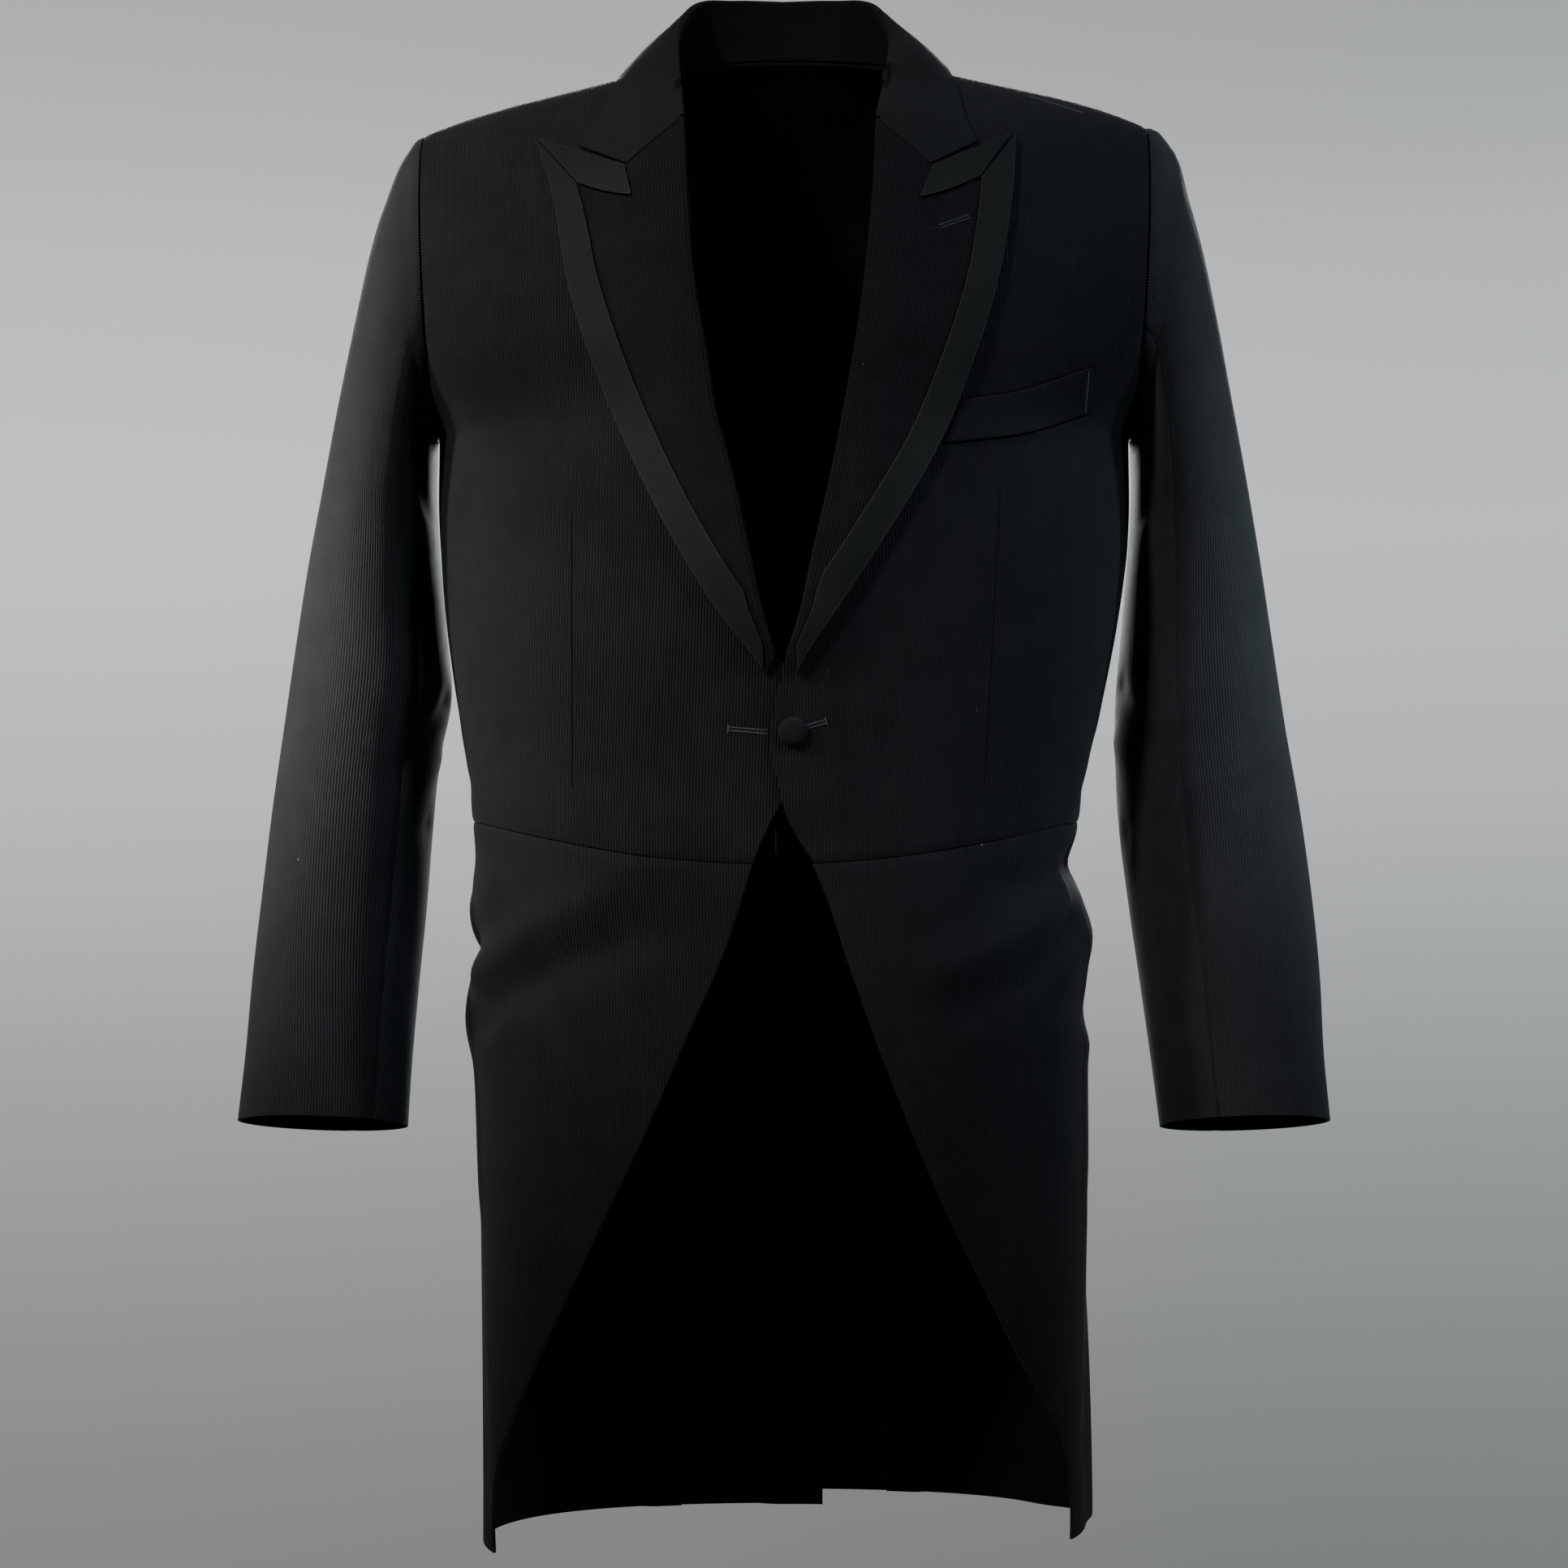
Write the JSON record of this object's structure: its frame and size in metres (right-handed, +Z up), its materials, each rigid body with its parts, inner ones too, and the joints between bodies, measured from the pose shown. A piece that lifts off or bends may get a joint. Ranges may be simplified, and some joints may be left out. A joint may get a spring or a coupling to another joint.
{
  "type": "morning coat",
  "caption": "Cutaway tailcoat worn closed at the front, with a folded collar, ribbon-edged peak lapels, a waist seam, curved skirts, tails and hollow sleeves.",
  "frame": {"origin": "midway between the two points where the shoulder seams meet the collar, where the wearer's neck and shoulders carry the coat", "axes": "+Z up the standing wearer, -Y the way the coat faces, +X the wearer's left"},
  "size_m": [0.7024, 0.2833, 1.0228],
  "materials": {
    "ribbed_wool": "matt black wool with fine upright ribs",
    "collar_wool": "matt smooth black wool",
    "ribbon": "dull greyish black corded ribbon",
    "button_cloth": "black cloth over a domed button"
  },
  "bodies": {
    "root": {"front_right": "ribbed_wool", "front_left": "ribbed_wool", "side_body_right": "ribbed_wool", "side_body_left": "ribbed_wool", "back_right": "ribbed_wool", "back_left": "ribbed_wool", "skirt_right": "ribbed_wool", "skirt_left": "ribbed_wool", "top_sleeve_right": "ribbed_wool", "top_sleeve_left": "ribbed_wool", "under_sleeve_right": "ribbed_wool", "under_sleeve_left": "ribbed_wool", "lapel_right": "ribbed_wool", "lapel_left": "ribbed_wool", "breast_welt": "ribbed_wool", "collar": "collar_wool", "edge_ribbon_right": "ribbon", "edge_ribbon_left": "ribbon", "top_ribbon_right": "ribbon", "top_ribbon_left": "ribbon", "front_button": "button_cloth", "waist_button_right": "button_cloth", "waist_button_left": "button_cloth", "cuff_button_right_1": "button_cloth", "cuff_button_right_2": "button_cloth", "cuff_button_right_3": "button_cloth", "cuff_button_left_1": "button_cloth", "cuff_button_left_2": "button_cloth", "cuff_button_left_3": "button_cloth"}
  },
  "joints": []
}
